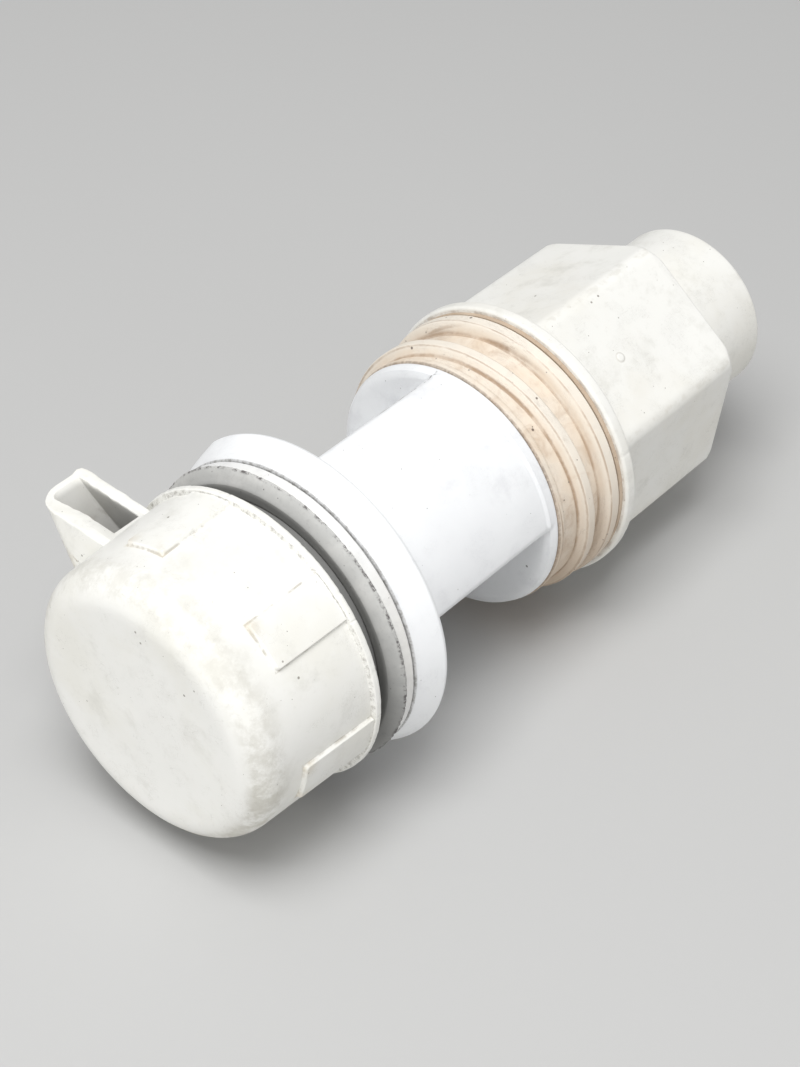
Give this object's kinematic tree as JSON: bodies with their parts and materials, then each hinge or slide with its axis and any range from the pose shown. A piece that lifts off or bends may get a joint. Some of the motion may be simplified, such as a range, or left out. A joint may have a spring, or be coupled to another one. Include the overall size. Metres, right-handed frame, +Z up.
{
  "type": "thru hull fitting",
  "caption": "Plastic thru hull fitting: turning hooded cap, flange, stem with two flats, coarse-threaded sleeve and a hexagon pipe end.",
  "frame": {"origin": "centre of the flange's hull-side face, on the fitting's axis", "axes": "+X along the fitting's axis, from the outboard cap to the inboard pipe end; +Z up"},
  "size_m": [0.1293, 0.0573, 0.0518],
  "materials": {
    "cap_plastic": "aged white moulded plastic, slightly yellowed, grime on its edges",
    "body_plastic": "clean white moulded plastic, satin",
    "ring_plastic": "white moulded plastic",
    "sleeve_plastic": "plastic aged to a tan colour, stained",
    "tail_plastic": "aged white moulded plastic, slightly yellowed",
    "gasket_rubber": "grey rubber",
    "washer_rubber": "brown-grey soft washer",
    "seal_rubber": "black rubber",
    "washer_plastic": "natural white plastic",
    "ring_steel": "stainless steel"
  },
  "bodies": {
    "body": {"flanged_body": "body_plastic", "wear_ring": "ring_plastic", "wiper_gasket": "gasket_rubber", "retaining_ring": "ring_steel", "neck_seal_front": "seal_rubber", "neck_seal_rear": "seal_rubber", "port_seal": "seal_rubber", "stop_pin": "ring_steel", "thrust_washer": "washer_plastic", "threaded_sleeve": "sleeve_plastic", "sleeve_keys": "ring_steel"},
    "cap": {"cap_shell": "cap_plastic"},
    "tail_carrier": {"lip_washer": "washer_rubber"},
    "tail": {"hex_tail": "tail_plastic", "barrel_seal": "seal_rubber", "pipe_seal": "seal_rubber", "spacer_ring": "washer_plastic", "grab_ring": "ring_steel", "socket_retainer": "tail_plastic"}
  },
  "joints": [
    {"name": "cap_turn", "type": "hinge", "parent": "body", "child": "cap", "pos_m": [0, 0, 0], "axis": [1, 0, 0], "range_deg": [0, 90]},
    {"name": "tail_travel", "type": "slide", "parent": "body", "child": "tail_carrier", "axis": [1, 0, 0], "range_m": [0, 0.0076]},
    {"name": "tail_turn", "type": "hinge", "parent": "tail_carrier", "child": "tail", "pos_m": [0.045, 0, 0], "axis": [1, 0, 0], "range_deg": [0, 1080]}
  ],
  "couplings": [
    {"joint": "tail_travel", "follows": "tail_turn", "m_per_rad": 0.00039789}
  ]
}
